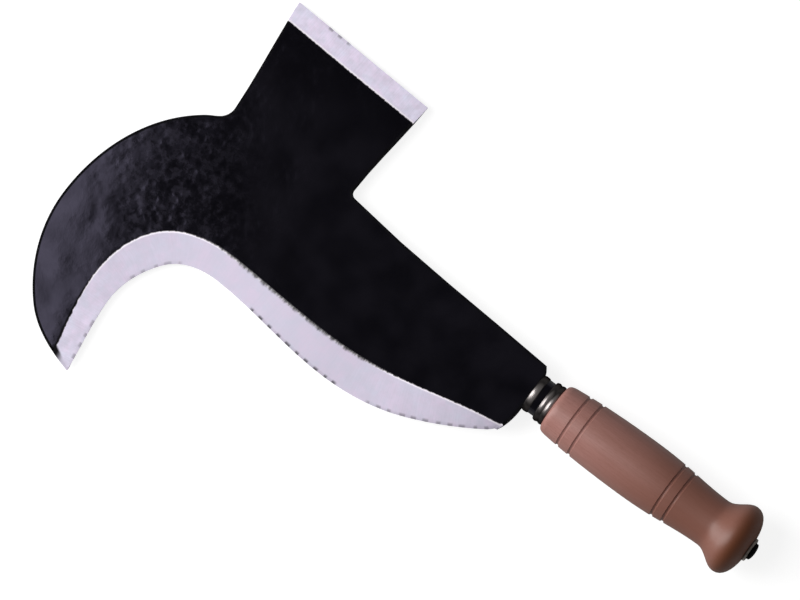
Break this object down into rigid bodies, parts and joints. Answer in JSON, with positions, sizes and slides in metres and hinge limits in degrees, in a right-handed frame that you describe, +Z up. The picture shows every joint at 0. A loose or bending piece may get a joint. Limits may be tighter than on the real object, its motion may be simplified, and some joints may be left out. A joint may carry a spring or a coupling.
{
  "type": "billhook",
  "caption": "One-hand billhook lying flat: hooked blade ground along its inner edge, square axe bit on its back, collar, ferrule and turned wooden handle on a riveted tang.",
  "frame": {"origin": "middle of the footprint, on the surface that the tool lies on", "axes": "+X along the handle towards the hook, +Y towards the cutting edge, +Z up, out of the upper cheek"},
  "size_m": [0.3855, 0.217, 0.0391],
  "materials": {
    "black_blade": "black lacquer over forge scale, with bevels ground to bare steel",
    "polished_steel": "polished, nickel plated",
    "turned_wood": "turned beech, satin lacquer",
    "washer_steel": "plain steel"
  },
  "bodies": {
    "root": {"blade": "black_blade", "collar": "polished_steel", "ferrule": "polished_steel", "handle": "turned_wood", "butt_washer": "washer_steel"}
  },
  "joints": []
}
